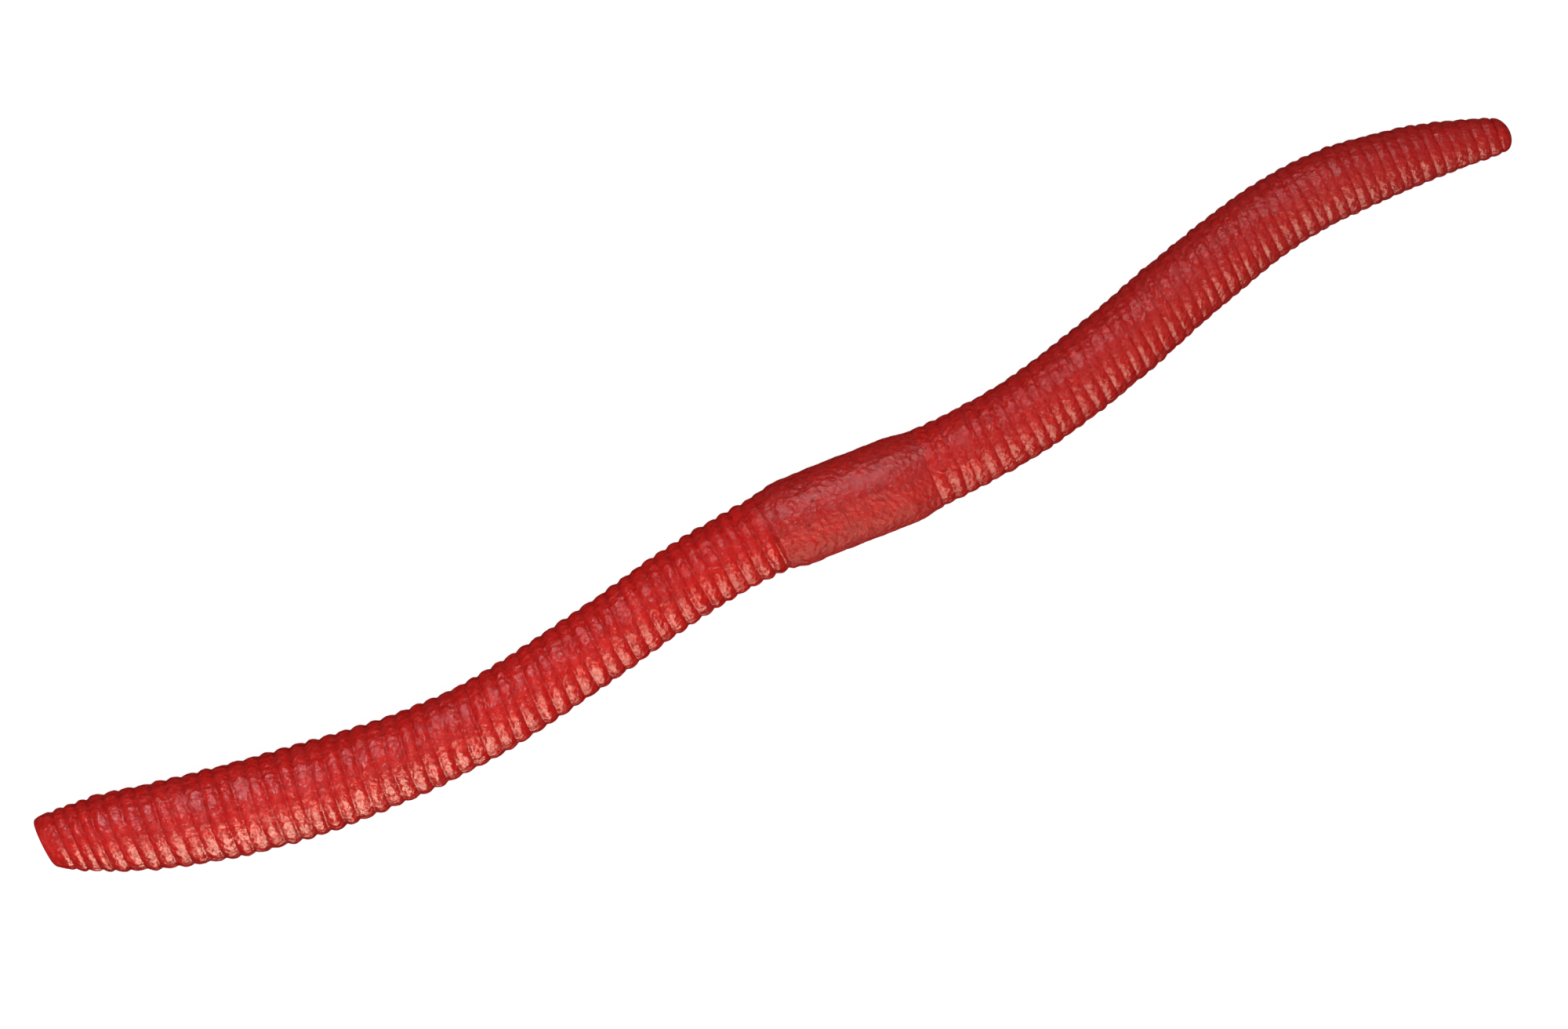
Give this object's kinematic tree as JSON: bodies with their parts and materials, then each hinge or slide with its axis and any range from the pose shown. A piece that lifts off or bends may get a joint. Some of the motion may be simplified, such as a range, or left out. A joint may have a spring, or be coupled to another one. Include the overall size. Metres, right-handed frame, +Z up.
{
  "type": "soft plastic worm lure",
  "caption": "Slender ringed soft plastic fishing worm with a blunt flat-cut head, a smooth raised saddle band and a thin rounded tail; it flexes along its whole length.",
  "frame": {"origin": "under the middle of the worm, on the surface that its belly lies on", "axes": "+X from head to tail along the longest extent, +Z up out of the back, +Y completes a right-handed frame"},
  "size_m": [0.075, 0.0086, 0.0043],
  "materials": {
    "ringed_vinyl": "gloss",
    "saddle_vinyl": "gloss"
  },
  "bodies": {
    "saddle": {"saddle": "saddle_vinyl"},
    "fore_segment_9": {"fore_segment_9": "ringed_vinyl"},
    "fore_segment_8": {"fore_segment_8": "ringed_vinyl"},
    "fore_segment_7": {"fore_segment_7": "ringed_vinyl"},
    "fore_segment_6": {"fore_segment_6": "ringed_vinyl"},
    "fore_segment_5": {"fore_segment_5": "ringed_vinyl"},
    "fore_segment_4": {"fore_segment_4": "ringed_vinyl"},
    "fore_segment_3": {"fore_segment_3": "ringed_vinyl"},
    "fore_segment_2": {"fore_segment_2": "ringed_vinyl"},
    "fore_segment_1": {"fore_segment_1": "ringed_vinyl"},
    "head_segment": {"head_segment": "ringed_vinyl"},
    "rear_segment_1": {"rear_segment_1": "ringed_vinyl"},
    "rear_segment_2": {"rear_segment_2": "ringed_vinyl"},
    "rear_segment_3": {"rear_segment_3": "ringed_vinyl"},
    "rear_segment_4": {"rear_segment_4": "ringed_vinyl"},
    "rear_segment_5": {"rear_segment_5": "ringed_vinyl"},
    "rear_segment_6": {"rear_segment_6": "ringed_vinyl"},
    "rear_segment_7": {"rear_segment_7": "ringed_vinyl"},
    "rear_segment_8": {"rear_segment_8": "ringed_vinyl"},
    "rear_segment_9": {"rear_segment_9": "ringed_vinyl"},
    "tail_segment": {"tail_segment": "ringed_vinyl"}
  },
  "joints": [
    {"name": "fore_9_sway", "type": "hinge", "parent": "saddle", "child": "fore_segment_9", "pos_m": [-0.00287, -0.00053, 0.00183], "axis": [0, 0, 1], "range_deg": [-30, 30], "stiffness_Nm_per_rad": 0.00027},
    {"name": "fore_8_lift", "type": "hinge", "parent": "fore_segment_9", "child": "fore_segment_8", "pos_m": [-0.00619, -0.00083, 0.00181], "axis": [0, 1, 0], "range_deg": [-30, 30], "stiffness_Nm_per_rad": 0.00026},
    {"name": "fore_7_sway", "type": "hinge", "parent": "fore_segment_8", "child": "fore_segment_7", "pos_m": [-0.00964, -0.0014, 0.00182], "axis": [0, 0, 1], "range_deg": [-30, 30], "stiffness_Nm_per_rad": 0.00026},
    {"name": "fore_6_lift", "type": "hinge", "parent": "fore_segment_7", "child": "fore_segment_6", "pos_m": [-0.01321, -0.00192, 0.00183], "axis": [0, 1, 0], "range_deg": [-30, 30], "stiffness_Nm_per_rad": 0.00027},
    {"name": "fore_5_sway", "type": "hinge", "parent": "fore_segment_6", "child": "fore_segment_5", "pos_m": [-0.0168, -0.00232, 0.00187], "axis": [0, 0, 1], "range_deg": [-30, 30], "stiffness_Nm_per_rad": 0.00029},
    {"name": "fore_4_lift", "type": "hinge", "parent": "fore_segment_5", "child": "fore_segment_4", "pos_m": [-0.02038, -0.00231, 0.00196], "axis": [0, 1, 0], "range_deg": [-30, 30], "stiffness_Nm_per_rad": 0.00035},
    {"name": "fore_3_sway", "type": "hinge", "parent": "fore_segment_4", "child": "fore_segment_3", "pos_m": [-0.02397, -0.00195, 0.0021], "axis": [0, 0, 1], "range_deg": [-30, 30], "stiffness_Nm_per_rad": 0.00047},
    {"name": "fore_2_lift", "type": "hinge", "parent": "fore_segment_3", "child": "fore_segment_2", "pos_m": [-0.02755, -0.00137, 0.00217], "axis": [0, 1, 0], "range_deg": [-30, 30], "stiffness_Nm_per_rad": 0.00053},
    {"name": "fore_1_sway", "type": "hinge", "parent": "fore_segment_2", "child": "fore_segment_1", "pos_m": [-0.03114, -0.00057, 0.00208], "axis": [0, 0, 1], "range_deg": [-30, 30], "stiffness_Nm_per_rad": 0.00044},
    {"name": "head_lift", "type": "hinge", "parent": "fore_segment_1", "child": "head_segment", "pos_m": [-0.03466, 0.00049, 0.00197], "axis": [0, 1, 0], "range_deg": [-30, 30], "stiffness_Nm_per_rad": 0.00026},
    {"name": "rear_1_sway", "type": "hinge", "parent": "saddle", "child": "rear_segment_1", "pos_m": [0.00813, -0.00099, 0.00187], "axis": [0, 0, 1], "range_deg": [-30, 30], "stiffness_Nm_per_rad": 0.00029},
    {"name": "rear_2_lift", "type": "hinge", "parent": "rear_segment_1", "child": "rear_segment_2", "pos_m": [0.01126, -0.00083, 0.00187], "axis": [0, -1, 0], "range_deg": [-30, 30], "stiffness_Nm_per_rad": 0.00029},
    {"name": "rear_3_sway", "type": "hinge", "parent": "rear_segment_2", "child": "rear_segment_3", "pos_m": [0.0143, -0.00033, 0.00187], "axis": [0, 0, 1], "range_deg": [-30, 30], "stiffness_Nm_per_rad": 0.00029},
    {"name": "rear_4_lift", "type": "hinge", "parent": "rear_segment_3", "child": "rear_segment_4", "pos_m": [0.01723, 0.00034, 0.00187], "axis": [0, -1, 0], "range_deg": [-30, 30], "stiffness_Nm_per_rad": 0.00029},
    {"name": "rear_5_sway", "type": "hinge", "parent": "rear_segment_4", "child": "rear_segment_5", "pos_m": [0.02006, 0.00112, 0.00184], "axis": [0, 0, 1], "range_deg": [-30, 30], "stiffness_Nm_per_rad": 0.00028},
    {"name": "rear_6_lift", "type": "hinge", "parent": "rear_segment_5", "child": "rear_segment_6", "pos_m": [0.02284, 0.00179, 0.0018], "axis": [0, -1, 0], "range_deg": [-30, 30], "stiffness_Nm_per_rad": 0.00025},
    {"name": "rear_7_sway", "type": "hinge", "parent": "rear_segment_6", "child": "rear_segment_7", "pos_m": [0.0256, 0.00236, 0.00175], "axis": [0, 0, 1], "range_deg": [-30, 30], "stiffness_Nm_per_rad": 0.00023},
    {"name": "rear_8_lift", "type": "hinge", "parent": "rear_segment_7", "child": "rear_segment_8", "pos_m": [0.02837, 0.00257, 0.0017], "axis": [0, -1, 0], "range_deg": [-30, 30], "stiffness_Nm_per_rad": 0.0002},
    {"name": "rear_9_sway", "type": "hinge", "parent": "rear_segment_8", "child": "rear_segment_9", "pos_m": [0.03114, 0.00238, 0.00156], "axis": [0, 0, 1], "range_deg": [-30, 30], "stiffness_Nm_per_rad": 0.00014},
    {"name": "tail_lift", "type": "hinge", "parent": "rear_segment_9", "child": "tail_segment", "pos_m": [0.03391, 0.00196, 0.00129], "axis": [0, -1, 0], "range_deg": [-30, 30], "stiffness_Nm_per_rad": 0.000066}
  ]
}
